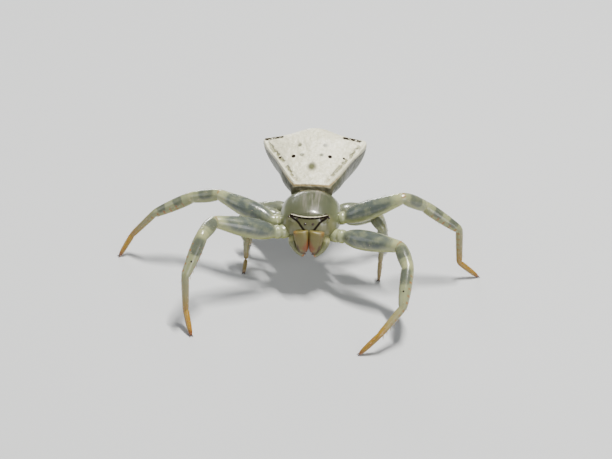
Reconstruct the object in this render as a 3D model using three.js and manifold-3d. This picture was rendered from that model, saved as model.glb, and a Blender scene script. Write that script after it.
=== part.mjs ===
// A white flower crab spider, life size, standing with its two front pairs of legs spread.
// Millimetres, +Z up. The spider faces -Y and its feet stand on z = 0.
import * as THREE from "three";
import { mergeVertices } from "three/addons/utils/BufferGeometryUtils.js";
import Module from "manifold-3d";

const wasm = await Module();
wasm.setup();

// Driving sizes. Heights of the body are measured from the level of the leg roots.
const CARAPACE_WIDTH = 3.3;
const ABDOMEN_WIDTH = 5.55;
const ABDOMEN_LENGTH = 5.0;
const ABDOMEN_TILT = 12;
const ABDOMEN_TURN = 0.5;
const BODY_HEIGHT = 3.5;
const SEAM = 0.3;
const JAW_GAP = 0.14;
const EYE_SEAM = 0.04;
const FOOT_SINK = 0.08;
const THINNEST = 0.25;

const LEG_SIDES = 12;
const BODY_SIDES = 32;
const PALP_SIDES = 10;

const COLOURS = {
  abdomen: 0xeeeee0,
  prosoma: 0xb3b89e,
  leg: 0xc3cbb2,
  jaw: 0xb08a3e,
  eye: 0x4a2a20,
};

const radians = (degrees) => THREE.MathUtils.degToRad(degrees);
const at = (x, y, z) => new THREE.Vector3(x, y, z);

// Reads a smooth line through [place, value] pairs at one place.
function along(pairs, place) {
  const last = pairs.length - 1;
  if (place <= pairs[0][0]) return pairs[0][1];
  if (place >= pairs[last][0]) return pairs[last][1];
  const i = pairs.findIndex((pair) => pair[0] > place) - 1;
  const slope = (a, b) => (pairs[b][1] - pairs[a][1]) / (pairs[b][0] - pairs[a][0]);
  const here = slope(i, i + 1);
  const before = i > 0 ? slope(i - 1, i + 1) : here;
  const after = i + 1 < last ? slope(i, i + 2) : here;
  const span = pairs[i + 1][0] - pairs[i][0];
  const t = (place - pairs[i][0]) / span;
  const hermite = (2 * t ** 3 - 3 * t ** 2 + 1) * pairs[i][1] + (3 * t ** 2 - 2 * t ** 3) * pairs[i + 1][1];
  return hermite + span * ((t ** 3 - 2 * t ** 2 + t) * before + (t ** 3 - t ** 2) * after);
}

// Closes a row of rings, each a list of points with one count, into one body with a fan at each end.
function loft(rings) {
  const sides = rings[0].length;
  const points = rings.flat();
  const faces = [];
  for (let r = 0; r + 1 < rings.length; r++)
    for (let i = 0; i < sides; i++) {
      const a = r * sides + i;
      const b = r * sides + ((i + 1) % sides);
      faces.push(a, b, a + sides, b, b + sides, a + sides);
    }
  for (const [ring, first, turned] of [
    [rings[0], 0, false],
    [rings.at(-1), (rings.length - 1) * sides, true],
  ]) {
    const middle = ring.reduce((sum, p) => sum.add(p), at(0, 0, 0)).divideScalar(sides);
    const centre = points.push(middle) - 1;
    for (let i = 0; i < sides; i++) {
      const a = first + i;
      const b = first + ((i + 1) % sides);
      faces.push(...(turned ? [a, b, centre] : [b, a, centre]));
    }
  }
  return new THREE.BufferGeometry().setFromPoints(points).setIndex(faces);
}

function toSolid(geometry) {
  const bare = new THREE.BufferGeometry().setAttribute("position", geometry.getAttribute("position"));
  if (geometry.index) bare.setIndex(geometry.index);
  const merged = mergeVertices(bare, 1e-4);
  const made = new wasm.Manifold(
    new wasm.Mesh({
      numProp: 3,
      vertProperties: new Float32Array(merged.getAttribute("position").array),
      triVerts: new Uint32Array(merged.index.array),
    }),
  );
  return made.volume() < 0 ? toSolid(flipped(merged)) : made;
}

function flipped(geometry) {
  const order = [...geometry.index.array];
  for (let i = 0; i < order.length; i += 3) [order[i + 1], order[i + 2]] = [order[i + 2], order[i + 1]];
  return geometry.clone().setIndex(order);
}

const largest = (solid) =>
  solid.decompose().reduce((a, b) => (b.volume() > a.volume() ? b : a));

function toGeometry(solid) {
  const mesh = largest(solid).getMesh();
  return new THREE.BufferGeometry()
    .setAttribute("position", new THREE.BufferAttribute(new Float32Array(mesh.vertProperties), 3))
    .setIndex(new THREE.BufferAttribute(new Uint32Array(mesh.triVerts), 1));
}

// A round tube through stations of { point, radius }. Each ring leans half way into the bend at its station.
function tube(stations, sides) {
  let normal = at(0, 0, 0);
  return loft(
    stations.map(({ point, radius }, i) => {
      const before = stations[Math.max(i - 1, 0)].point;
      const after = stations[Math.min(i + 1, stations.length - 1)].point;
      const into = point.clone().sub(before).normalize();
      const tangent = after.clone().sub(point).normalize().add(into).normalize();
      if (i === 0) normal = at(0, 0, 1).cross(tangent).normalize();
      normal.addScaledVector(tangent, -normal.dot(tangent)).normalize();
      const up = tangent.clone().cross(normal);
      return Array.from({ length: sides }, (_, k) => {
        const turn = (2 * Math.PI * k) / sides;
        return point
          .clone()
          .addScaledVector(normal, radius * Math.cos(turn))
          .addScaledVector(up, radius * Math.sin(turn));
      });
    }),
  );
}

// The head and thorax: a round domed carapace over a narrower underside, with a steep face.
const HEAD_FRONT = -0.5 * CARAPACE_WIDTH;
const HEAD_BACK = 0.49 * CARAPACE_WIDTH;
const BROW_Y = HEAD_FRONT + 0.27;
const BROW_Z = 1.0;
const headWidth = [
  [HEAD_FRONT, 0.62], [HEAD_FRONT + 0.12, 0.92], [BROW_Y, 1.14], [-1.0, 1.45], [-0.5, 1.61],
  [0, 0.5 * CARAPACE_WIDTH], [0.5, 1.62], [1.0, 1.42], [1.35, 1.08], [HEAD_BACK, 0.6],
];
const headTop = [
  [HEAD_FRONT, 0.12], [HEAD_FRONT + 0.12, 0.64], [BROW_Y, BROW_Z], [-1.0, 1.18], [-0.5, 1.3], [0, 1.35],
  [0.5, 1.37], [0.9, 1.22], [1.3, 0.83], [1.5, 0.44], [HEAD_BACK, 0.05],
];
const headBottom = [
  [HEAD_FRONT, -0.12], [HEAD_FRONT + 0.2, -0.5], [-1.1, -0.82], [0, -0.92], [1.0, -0.8], [HEAD_BACK, -0.4],
];
const RIM_Z = -0.1;
const BELLY_TUCK = 0.3;

function headSolid(grow) {
  const places = [0, 0.035, 0.075, 0.13, 0.2, 0.29, 0.38, 0.48, 0.58, 0.68, 0.78, 0.87, 0.94, 1];
  const rings = places.map((share) => {
    const y = HEAD_FRONT + share * (HEAD_BACK - HEAD_FRONT);
    const width = along(headWidth, y) + grow;
    const top = along(headTop, y) + grow;
    const bottom = along(headBottom, y) - grow;
    return Array.from({ length: BODY_SIDES }, (_, k) => {
      const turn = (2 * Math.PI * k) / BODY_SIDES;
      const rise = Math.sin(turn);
      const tuck = rise < 0 ? 1 + BELLY_TUCK * rise : 1;
      const z = rise > 0 ? RIM_Z + (top - RIM_Z) * rise ** 0.78 : RIM_Z + (RIM_Z - bottom) * rise;
      return at(width * tuck * Math.cos(turn), y + Math.sign(share - 0.5) * grow * (share % 1 === 0), z);
    });
  });
  return toSolid(loft(rings));
}

// A short cone from one point to another, used for the eye humps and the spinnerets.
const cone = (from, to, wide, narrow) =>
  toSolid(tube([{ point: from, radius: wide }, { point: to, radius: narrow }], PALP_SIDES));

// The two eye humps stand at the ends of the brow.
const HUMP_X = 0.93;
function browHump(side) {
  const root = at(side * (HUMP_X - 0.22), BROW_Y + 0.24, BROW_Z - 0.42);
  const tip = at(side * (HUMP_X + 0.1), BROW_Y - 0.02, BROW_Z - 0.1);
  return cone(root, tip, 0.34, 0.12);
}

// Eight eyes in two rows: four low on the face and along the brow, four above it.
const EYES = {
  eye_front_inner: { x: 0.2, y: HEAD_FRONT + 0.13, z: 0.5, radius: 0.09 },
  eye_front_outer: { x: 0.62, y: BROW_Y - 0.03, z: BROW_Z - 0.26, radius: 0.09 },
  eye_back_inner: { x: 0.33, y: BROW_Y - 0.02, z: BROW_Z - 0.16, radius: 0.07 },
  eye_back_outer: { x: HUMP_X + 0.12, y: BROW_Y - 0.03, z: BROW_Z - 0.14, radius: 0.09 },
};

const sphere = (centre, radius) =>
  toSolid(new THREE.IcosahedronGeometry(radius, 1).translate(centre.x, centre.y, centre.z));

// The mouth's side plates, joined to the underside behind the jaws.
const mouthPlate = (side, grow = 0) =>
  toSolid(
    tube(
      [
        { point: at(side * 0.36, -0.95, -0.55), radius: 0.3 + grow },
        { point: at(side * 0.27, -1.08, -0.82), radius: 0.22 + grow },
        { point: at(side * 0.22, -1.12, -0.95 - grow), radius: 0.12 + grow },
      ],
      PALP_SIDES,
    ),
  );

function headNode() {
  let made = headSolid(0);
  for (const side of [-1, 1]) made = made.add(browHump(side)).add(mouthPlate(side));
  for (const eye of Object.values(EYES))
    for (const side of [-1, 1])
      made = made.subtract(sphere(at(side * eye.x, eye.y, eye.z), eye.radius + EYE_SEAM));
  return made;
}

// The abdomen in its own frame: x across, y from the front edge back, z up from the plane of its rim.
const HUMP_SHARE = 0.64;
const HALF_ABDOMEN = ABDOMEN_WIDTH / 2;
const abdomenWidth = [
  [-0.06, 0.82], [0, 0.9], [0.066, 1.12], [0.19, 1.48], [0.38, 2.0], [HUMP_SHARE - 0.04, HALF_ABDOMEN - 0.06],
  [HUMP_SHARE + 0.02, HALF_ABDOMEN - 0.03], [0.72, 2.2], [0.82, 1.62], [0.92, 1.0], [1, 0.42],
];
const abdomenRim = [[-0.06, -0.55], [-0.03, -0.22], [0, 0], [0.5, 0.02], [HUMP_SHARE, 0], [0.8, -0.35], [1, -1.5]];
const abdomenDome = [[-0.06, 0.05], [0, 0.06], [0.3, 0.26], [HUMP_SHARE, 0.62], [0.8, 0.88], [0.92, 0.66], [1, 0.2]];
const abdomenDepth = [[-0.06, 0.6], [0, 1.2], [0.25, 1.9], [0.55, 2.35], [0.8, 1.9], [0.94, 1.0], [1, 0.3]];
const FLANK_TUCK = 0.12;
const FLANK_BULGE = 0.34;
const FLANK_SQUARE = 0.5;
const KNOB_HEIGHT = 0.42;
const ABDOMEN_SEAT = at(-0.05, 1.2, 1.36);

const abdomenPlaces = [
  -0.06, -0.03, 0, 0.05, 0.13, 0.22, 0.32, 0.42, 0.51, 0.57, 0.61, 0.65, 0.69, 0.74, 0.8, 0.87, 0.94, 1,
];

function abdomenSolid() {
  const rings = abdomenPlaces.map((share) => {
    const width = along(abdomenWidth, share);
    const rim = along(abdomenRim, share);
    const dome = along(abdomenDome, share);
    const depth = along(abdomenDepth, share);
    const knob = KNOB_HEIGHT * Math.exp(-(((share - HUMP_SHARE - 0.02) / 0.09) ** 2));
    const sharper = THREE.MathUtils.smoothstep(share, 0.45, 0.7);
    const bulge = FLANK_BULGE * (1 - THREE.MathUtils.smoothstep(share, 0.1, 0.5));
    return Array.from({ length: BODY_SIDES }, (_, k) => {
      const turn = (2 * Math.PI * k) / BODY_SIDES;
      const rise = Math.sin(turn);
      const across = Math.cos(turn);
      if (rise >= 0) {
        const hump = dome * rise ** (1.6 + 1.3 * sharper) + knob * rise ** 0.2 * (1 - rise ** 2);
        return at(width * across, share * ABDOMEN_LENGTH, rim + hump);
      }
      const flank = Math.sign(across) * Math.abs(across) ** FLANK_SQUARE * (1 + FLANK_TUCK * rise);
      const swell = bulge * Math.sin(Math.PI * Math.abs(rise) ** 0.8) * Math.sign(across) * Math.abs(across) ** 0.7;
      return at(width * flank + swell, share * ABDOMEN_LENGTH, rim + depth * rise);
    });
  });
  let made = toSolid(loft(rings));
  for (const side of [-1, 1]) {
    made = made.add(cone(at(side * 0.2, 4.7, -1.5), at(side * 0.22, 5.2, -1.75), 0.2, 0.1));
    made = made.add(cone(at(side * 0.17, 4.55, -1.75), at(side * 0.14, 4.95, -2.05), 0.18, 0.09));
  }
  const seat = new THREE.Matrix4()
    .makeRotationFromEuler(new THREE.Euler(radians(ABDOMEN_TILT), 0, radians(ABDOMEN_TURN), "ZYX"))
    .setPosition(ABDOMEN_SEAT);
  return made.transform(seat.elements);
}

// The narrow waist, which joins the abdomen's node and stops short of the thorax.
const waist = () => cone(at(0, HEAD_BACK - 0.4, -0.1), at(0, HEAD_BACK + 1.2, 0.35), 0.34, 0.42);

// Legs. Each pair has one set of lengths: thigh, knee piece, shin, foot piece and toe piece.
const LEG_PAIRS = {
  1: { lengths: [3.4, 1.5, 2.3, 1.9, 1.4], girth: 1 },
  2: { lengths: [3.3, 1.6, 2.3, 2.0, 1.3], girth: 0.95 },
  3: { lengths: [1.7, 0.75, 1.15, 1.05, 1.0], girth: 0.72 },
  4: { lengths: [1.85, 0.75, 1.2, 0.9, 0.75], girth: 0.72 },
};

// hip: where the thigh starts. heading: 0 is straight ahead, 90 is out to the side. pitch: up from level.
// The toe piece has a heading only: it drops to the floor from wherever the foot piece ends.
const LEG_POSES = {
  leg_1_left: { hip: [-1.89, -1.4, -0.13], heading: [70, 20, 26, 174, -19], pitch: [20, -4, -43, -94] },
  leg_2_left: { hip: [-2.02, -0.47, 0.06], heading: [116, 107, 88, 105, 58], pitch: [11, -17, -27, -50] },
  leg_3_left: { hip: [-1.75, 0.55, -0.25], heading: [103, 90, 60, -3, 3], pitch: [-4, -54, -108, -76] },
  leg_4_left: { hip: [-1.35, 1.34, -0.25], heading: [111, 129, 120, 157, 180], pitch: [-11, -44, -94, -71] },
  leg_1_right: { hip: [1.93, -1.4, -0.27], heading: [61, 18, -5, -43, -70], pitch: [8, -16, -35, -30] },
  leg_2_right: { hip: [1.89, -0.37, 0.31], heading: [87, 126, 90, 106, 97], pitch: [25, -34, -36, -89] },
  leg_3_right: { hip: [1.75, 0.55, -0.25], heading: [69, 57, 60, 24, -13], pitch: [15, -38, -90, -104] },
  leg_4_right: { hip: [1.35, 1.34, -0.25], heading: [113, 133, 103, 156, 161], pitch: [-9, -44, -72, -78] },
};

// Thickness along each piece of a front leg, as [share of the piece, radius].
const LEG_SHAPES = [
  [[0.06, 0.4], [0.3, 0.55], [0.55, 0.54], [0.8, 0.43], [0.93, 0.36]],
  [[0.14, 0.35], [0.45, 0.39], [0.75, 0.38], [0.94, 0.35]],
  [[0.1, 0.35], [0.4, 0.36], [0.75, 0.33], [0.93, 0.28]],
  [[0.12, 0.245], [0.5, 0.23], [0.92, 0.22]],
  [[0.14, 0.235], [0.55, 0.225], [0.85, 0.2]],
];
const JOINT_RADII = [0.34, 0.33, 0.33, 0.25, 0.215];
const TOE_RADIUS = 0.17;
const ROOT_RADIUS = 0.36;

const step = (heading, pitch, side) =>
  at(
    side * Math.cos(pitch) * Math.sin(heading),
    -Math.cos(pitch) * Math.cos(heading),
    Math.sin(pitch),
  );

// The six points of a leg, from the hip to the toe's end just above the floor.
function legJoints({ hip, heading, pitch }, lengths, side) {
  const points = [at(...hip)];
  const toeHeight = TOE_RADIUS - FOOT_SINK - BODY_HEIGHT;
  lengths.forEach((length, i) => {
    const from = points[i];
    const drop = Math.min((from.z - toeHeight) / length, 0.995);
    const lean = i < pitch.length ? radians(pitch[i]) : -Math.asin(drop);
    points.push(from.clone().addScaledVector(step(radians(heading[i]), lean, side), length));
  });
  return points;
}

function legSolid(name, bodyCutter) {
  const pose = LEG_POSES[name];
  const { lengths, girth } = LEG_PAIRS[name.split("_")[1]];
  const side = name.endsWith("left") ? -1 : 1;
  const thick = (radius) => Math.max(radius * girth, THINNEST);
  const joints = legJoints(pose, lengths, side);
  const root = at(0.45 * joints[0].x, 0.55 * joints[0].y, joints[0].z - 0.22);
  const stations = [
    { point: root, radius: thick(ROOT_RADIUS) },
    { point: root.clone().lerp(joints[0], 0.75), radius: thick(ROOT_RADIUS) },
  ];
  LEG_SHAPES.forEach((shape, i) => {
    stations.push({ point: joints[i], radius: thick(JOINT_RADII[i]) });
    for (const [share, radius] of shape)
      stations.push({ point: joints[i].clone().lerp(joints[i + 1], share), radius: thick(radius) });
  });
  const end = joints.at(-1);
  const beyond = end.clone().sub(joints.at(-2)).normalize();
  stations.push({ point: end, radius: TOE_RADIUS });
  stations.push({ point: end.clone().addScaledVector(beyond, TOE_RADIUS * 0.7), radius: TOE_RADIUS * 0.6 });
  return toSolid(tube(stations, LEG_SIDES)).subtract(bodyCutter);
}

// Feeler legs beside the jaws, curling in under them.
const PALP_LINE = [
  [0.5, -0.95, -0.5, 0.27], [0.82, -1.16, -0.48, 0.26], [0.93, -1.32, -0.64, 0.25], [0.8, -1.44, -0.93, 0.25],
  [0.58, -1.52, -1.16, 0.22], [0.4, -1.58, -1.29, 0.17], [0.29, -1.62, -1.34, 0.1],
];
function palpSolid(side, bodyCutter) {
  const line = new THREE.CatmullRomCurve3(PALP_LINE.map(([x, y, z]) => at(side * x, y, z)));
  const count = 13;
  const radii = PALP_LINE.map((row, i) => [i / (PALP_LINE.length - 1), row[3]]);
  const stations = Array.from({ length: count }, (_, i) => ({
    point: line.getPoint(i / (count - 1)),
    radius: along(radii, i / (count - 1)),
  }));
  return toSolid(tube(stations, PALP_SIDES)).subtract(bodyCutter);
}

// The stout upright jaws, each with its fang curling inwards at the tip.
const JAW_LINE = [[0.0, 0.34], [0.1, 0.42], [0.35, 0.41], [0.7, 0.3], [0.9, 0.2], [1, 0.13]];
const JAW_TOP = at(0.42, HEAD_FRONT - 0.13, 0.12);
const JAW_FOOT = at(0.26, HEAD_FRONT - 0.23, -1.08);
function jawSolid(side, bodyCutter) {
  const top = at(side * JAW_TOP.x, JAW_TOP.y, JAW_TOP.z);
  const foot = at(side * JAW_FOOT.x, JAW_FOOT.y, JAW_FOOT.z);
  const stations = JAW_LINE.map(([share, radius]) => ({ point: top.clone().lerp(foot, share), radius }));
  const fang = tube(
    [
      { point: at(side * 0.28, foot.y - 0.02, foot.z + 0.14), radius: 0.12 },
      { point: at(side * 0.23, foot.y + 0.02, foot.z - 0.03), radius: 0.1 },
      { point: at(side * 0.15, foot.y + 0.08, foot.z - 0.1), radius: 0.05 },
    ],
    PALP_SIDES,
  );
  const middle = new THREE.BoxGeometry(JAW_GAP, 4, 6).translate(0, HEAD_FRONT, 0);
  return toSolid(tube(stations, PALP_SIDES)).add(toSolid(fang)).subtract(bodyCutter).subtract(toSolid(middle));
}

const spider = new THREE.Group();
function place(name, solid, colour) {
  const material = new THREE.MeshStandardMaterial({ color: colour, roughness: 0.4, metalness: 0 });
  const mesh = new THREE.Mesh(toGeometry(solid), material);
  mesh.name = name;
  mesh.position.z = BODY_HEIGHT;
  spider.add(mesh);
}

const head = headNode();
const aroundHead = [-1, 1].reduce((sum, side) => sum.add(mouthPlate(side, SEAM)), headSolid(SEAM));
const floor = toSolid(new THREE.BoxGeometry(60, 60, 4).translate(0, 0, -BODY_HEIGHT - 2));

place("cephalothorax", head, COLOURS.prosoma);
place("abdomen", abdomenSolid().add(waist()).subtract(aroundHead), COLOURS.abdomen);
for (const [side, word] of [[-1, "left"], [1, "right"]]) {
  place("jaw_" + word, jawSolid(side, aroundHead), COLOURS.jaw);
  place("palp_" + word, palpSolid(side, aroundHead), COLOURS.leg);
  for (const [name, eye] of Object.entries(EYES))
    place(name + "_" + word, sphere(at(side * eye.x, eye.y, eye.z), eye.radius), COLOURS.eye);
}
for (const name of Object.keys(LEG_POSES))
  place(name, legSolid(name, aroundHead).subtract(floor), COLOURS.leg);

// The origin is the middle of the floor area that the spider covers.
const covered = new THREE.Box3().setFromObject(spider).getCenter(at(0, 0, 0));
spider.position.set(-covered.x, -covered.y, 0);

export default spider;
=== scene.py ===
"""A white crab spider, life size, standing with its front legs spread."""
import math
import random

import bmesh
import bpy
from mathutils import Matrix, Vector


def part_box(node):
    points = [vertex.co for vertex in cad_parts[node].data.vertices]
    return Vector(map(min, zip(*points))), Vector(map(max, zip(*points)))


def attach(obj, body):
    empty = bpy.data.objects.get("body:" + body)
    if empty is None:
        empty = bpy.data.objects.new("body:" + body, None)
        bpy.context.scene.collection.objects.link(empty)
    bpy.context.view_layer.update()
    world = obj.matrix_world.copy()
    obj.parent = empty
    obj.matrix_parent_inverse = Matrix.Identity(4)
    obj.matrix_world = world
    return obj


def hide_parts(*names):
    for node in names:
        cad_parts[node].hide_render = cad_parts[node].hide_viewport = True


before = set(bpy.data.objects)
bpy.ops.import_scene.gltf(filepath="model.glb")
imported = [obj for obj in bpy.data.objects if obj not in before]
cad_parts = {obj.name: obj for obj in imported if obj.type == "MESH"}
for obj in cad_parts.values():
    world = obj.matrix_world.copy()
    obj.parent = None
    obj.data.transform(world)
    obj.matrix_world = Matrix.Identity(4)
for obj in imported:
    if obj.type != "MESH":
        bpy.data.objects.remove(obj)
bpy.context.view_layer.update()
bpy.ops.object.select_all(action="DESELECT")
dice = random.Random(7)

# Sizes in millimetres. Shapes are drawn about the middle of the carapace at the height of the leg
# roots, and are moved and scaled to the frame's metres when they are finished.
MM = 0.001
CARAPACE_WIDTH = 3.3
ABDOMEN_WIDTH = 5.55
ABDOMEN_LENGTH = 5.0
ABDOMEN_TILT = 12
ABDOMEN_TURN = 0.5
BODY_HEIGHT = 3.5
FOOT_SINK = 0.08
HEAD_FRONT = -0.5 * CARAPACE_WIDTH
HEAD_BACK = 0.49 * CARAPACE_WIDTH
BROW_Y = HEAD_FRONT + 0.27
BROW_Z = 1.0

head_low, head_high = (Vector(corner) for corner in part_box("cephalothorax"))
CENTRE = Vector(((head_low.x + head_high.x) / 2, head_low.y - HEAD_FRONT * MM, BODY_HEIGHT * MM))
TO_FRAME = Matrix.Translation(CENTRE) @ Matrix.Scale(MM, 4)
SIDES = {"left": -1, "right": 1}


# Camera, light and floor

VIEW_AZIMUTH = math.radians(4)
VIEW_HEIGHT = math.radians(30)
VIEW_DISTANCE = 0.2
PHOTO_WIDTH = 612
PHOTO_HEIGHT = 459
BODY_PIXEL = (311, 218)
PIXELS_PER_MM = 19
SENSOR = 36
SKY_COLOUR = (0.75, 0.78, 0.82, 1)
SKY_STRENGTH = 0.3
FLOOR_SIZE = 2
FLOOR_DARK = (0.46, 0.47, 0.48)
FLOOR_LIGHT = (0.5, 0.51, 0.52)

# Each lamp's name, place and size in millimetres, watts, colour, and the share of it that gloss reflects
LAMPS = (
    ("key", (27, 14, 148), (50, 6), 0.6, (1, 0.98, 0.93), 1),
    ("front", (80, -130, 50), (90, 90), 0.14, (1, 0.99, 0.97), 0.1),
    ("side", (-140, -40, 70), (90, 90), 0.05, (0.93, 0.96, 1), 0.3),
    ("back", (-40, 140, 40), (50, 20), 0.1, (1, 1, 1), 0),
)


def make_camera():
    right = Vector((math.cos(VIEW_AZIMUTH), math.sin(VIEW_AZIMUTH), 0))
    back = Vector((
        math.sin(VIEW_AZIMUTH) * math.cos(VIEW_HEIGHT),
        -math.cos(VIEW_AZIMUTH) * math.cos(VIEW_HEIGHT),
        math.sin(VIEW_HEIGHT),
    ))
    up = back.cross(right)
    aim_right = (PHOTO_WIDTH / 2 - BODY_PIXEL[0]) / PIXELS_PER_MM * MM
    aim_up = (BODY_PIXEL[1] - PHOTO_HEIGHT / 2) / PIXELS_PER_MM * MM
    aim = CENTRE + right * aim_right + up * aim_up
    bpy.ops.object.camera_add(location=aim + back * VIEW_DISTANCE)
    camera = bpy.context.object
    camera.rotation_euler = back.to_track_quat("Z", "Y").to_euler()
    camera.data.sensor_width = SENSOR
    camera.data.lens = PIXELS_PER_MM / MM * VIEW_DISTANCE * SENSOR / PHOTO_WIDTH
    camera.data.clip_start = VIEW_DISTANCE / 20
    camera.data.clip_end = VIEW_DISTANCE * 50
    bpy.context.scene.camera = camera


def make_light(name, place, size, power, colour, gleam):
    """A soft rectangular lamp that faces the spider."""
    bpy.ops.object.light_add(type="AREA", location=CENTRE + Vector(place) * MM)
    light = bpy.context.object
    light.name = name
    light.rotation_euler = (light.location - CENTRE).to_track_quat("Z", "Y").to_euler()
    light.data.shape = "RECTANGLE"
    light.data.size = size[0] * MM
    light.data.size_y = size[1] * MM
    light.data.energy = power
    light.data.specular_factor = gleam
    light.data.color = colour


def make_stage():
    for lamp in LAMPS:
        make_light(*lamp)
    world = bpy.data.worlds.new("studio")
    world.use_nodes = True
    sky = world.node_tree.nodes["Background"]
    sky.inputs["Color"].default_value = SKY_COLOUR
    sky.inputs["Strength"].default_value = SKY_STRENGTH
    bpy.context.scene.world = world
    bpy.ops.mesh.primitive_plane_add(size=FLOOR_SIZE)
    floor = bpy.context.object
    floor.name = "floor"
    paper = Finish("floor_paper", roughness=0.9)
    grain = paper.noise(paper.place(), 900, 3)
    paper.colour(paper.mix(grain, FLOOR_DARK, FLOOR_LIGHT))
    floor.data.materials.append(paper.material)


# Finishes

class Wire:
    """A number that a node gives, ready for sums."""

    def __init__(self, finish, socket):
        self.finish = finish
        self.socket = socket

    def sum(self, operation, first, second=0.0):
        return self.finish.node("ShaderNodeMath", {"operation": operation}, {0: first, 1: second})

    def __add__(self, other):
        return self.sum("ADD", self, other)

    def __sub__(self, other):
        return self.sum("SUBTRACT", self, other)

    def __rsub__(self, other):
        return self.sum("SUBTRACT", other, self)

    def __mul__(self, other):
        return self.sum("MULTIPLY", self, other)

    def __pow__(self, other):
        return self.sum("POWER", self, other)

    def __neg__(self):
        return self.sum("MULTIPLY", self, -1.0)

    def __abs__(self):
        return self.sum("ABSOLUTE", self)

    def fraction(self):
        return self.sum("FRACT", self)

    def above(self, other):
        return self.sum("MAXIMUM", self, other)

    def below(self, other):
        return self.sum("MINIMUM", self, other)


class Finish:
    """One material with a Principled shader."""

    def __init__(self, name, **constants):
        self.material = bpy.data.materials.new(name)
        self.material.use_nodes = True
        self.tree = self.material.node_tree
        self.shader = self.tree.nodes["Principled BSDF"]
        for socket, value in constants.items():
            self.shader.inputs[socket.replace("_", " ").title()].default_value = value

    def feed(self, socket, value):
        if isinstance(value, Wire):
            self.tree.links.new(value.socket, socket)
        elif socket.type == "RGBA" and len(value) == 3:
            socket.default_value = (*value, 1)
        else:
            socket.default_value = value

    def node(self, kind, settings, inputs, output=0):
        made = self.tree.nodes.new(kind)
        for key, value in settings.items():
            setattr(made, key, value)
        for key, value in inputs.items():
            self.feed(made.inputs[key], value)
        return Wire(self, made.outputs[output])

    def place(self):
        """Millimetres from the middle of the carapace."""
        spot = self.node("ShaderNodeTexCoord", {}, {}, "Object")
        return self.node(
            "ShaderNodeMapping",
            {},
            {"Vector": spot, "Location": -CENTRE / MM, "Scale": (1 / MM, 1 / MM, 1 / MM)},
        )

    def marks(self):
        """Places along and round a piece, kept on its points when it was drawn."""
        return self.node("ShaderNodeAttribute", {"attribute_name": "marks"}, {}, "Vector")

    def parts(self, vector):
        split = self.tree.nodes.new("ShaderNodeSeparateXYZ")
        self.feed(split.inputs[0], vector)
        return [Wire(self, output) for output in split.outputs]

    def join(self, x, y, z=0.0):
        return self.node("ShaderNodeCombineXYZ", {}, {0: x, 1: y, 2: z})

    def vector(self, operation, first, second):
        output = "Value" if operation in ("DISTANCE", "DOT_PRODUCT") else "Vector"
        return self.node(
            "ShaderNodeVectorMath", {"operation": operation}, {0: first, 1: second}, output
        )

    def step(self, value, low, high):
        return self.node(
            "ShaderNodeMapRange",
            {"interpolation_type": "SMOOTHSTEP"},
            {"Value": value, "From Min": low, "From Max": high},
        )

    def band(self, value, start, end, soft):
        begun = self.step(value, start - soft, start + soft)
        return begun * (1 - self.step(value, end - soft, end + soft))

    def spot(self, vector, middle, radius, soft):
        gap = self.vector("DISTANCE", vector, (*middle, 0))
        return 1 - self.step(gap, radius - soft, radius + soft)

    def line(self, vector, start, end, wide, soft):
        """A drawn line from one flat place to another."""
        run = Vector((end[0] - start[0], end[1] - start[1], 0))
        reach = self.vector("SUBTRACT", vector, (*start, 0))
        share = (self.vector("DOT_PRODUCT", reach, run) * (1 / run.length_squared)).above(0).below(1)
        nearest = self.node("ShaderNodeVectorMath", {"operation": "SCALE"}, {0: run, "Scale": share})
        gap = self.vector("DISTANCE", reach, nearest)
        return 1 - self.step(gap, wide - soft, wide + soft)

    def pane(self, run, turned, start, end):
        """A window with round corners, from start to end along a piece."""
        middle = (start + end) / 2
        far = abs(run - middle) * (2 / (end - start))
        return 1 - self.step(far**4 + turned**4, 0.25, 1.3)

    def noise(self, vector, scale, detail):
        return self.node(
            "ShaderNodeTexNoise", {}, {"Vector": vector, "Scale": scale, "Detail": detail}, "Fac"
        )

    def mix(self, share, first, second):
        return self.node(
            "ShaderNodeMix", {"data_type": "RGBA"}, {0: share, 6: first, 7: second}, 2
        )

    def colour(self, value):
        self.feed(self.shader.inputs["Base Color"], value)

    def bump(self, height, distance, strength):
        raised = self.node(
            "ShaderNodeBump",
            {},
            {"Height": height, "Distance": distance * MM, "Strength": strength},
            "Normal",
        )
        self.feed(self.shader.inputs["Normal"], raised)

    def glow_through(self, weight, radius, colour, mask=None):
        """Light that soaks into the skin, and how far in millimetres, only where the mask is one."""
        self.feed(self.shader.inputs["Subsurface Weight"], weight if mask is None else mask * weight)
        self.shader.inputs["Subsurface Radius"].default_value = colour
        self.shader.inputs["Subsurface Scale"].default_value = radius * MM

    def matt(self, mask):
        """Takes the gleam away where the mask is one, so that ink stays dark under the lamps."""
        for socket in ("Specular IOR Level", "Coat Weight"):
            level = self.shader.inputs[socket].default_value
            self.feed(self.shader.inputs[socket], (1 - mask) * level)


INK = (0.012, 0.008, 0.006)

CREAM = (0.32, 0.335, 0.17)
MILK = (0.2, 0.225, 0.13)
# Painted see-through shade for the legs' windows
SEEN_THROUGH_SLATE = (0.055, 0.068, 0.064)
LIME = (0.25, 0.26, 0.06)
AMBER = (0.26, 0.08, 0.006)
TAN = (0.2, 0.13, 0.03)
GOLD = (0.24, 0.145, 0.008)
RUST = (0.13, 0.028, 0.005)
SHIN_OLIVE = (0.1, 0.105, 0.05)
RING_CREAM = (0.33, 0.33, 0.16)
REAR_GREY = (0.2, 0.21, 0.13)

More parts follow.
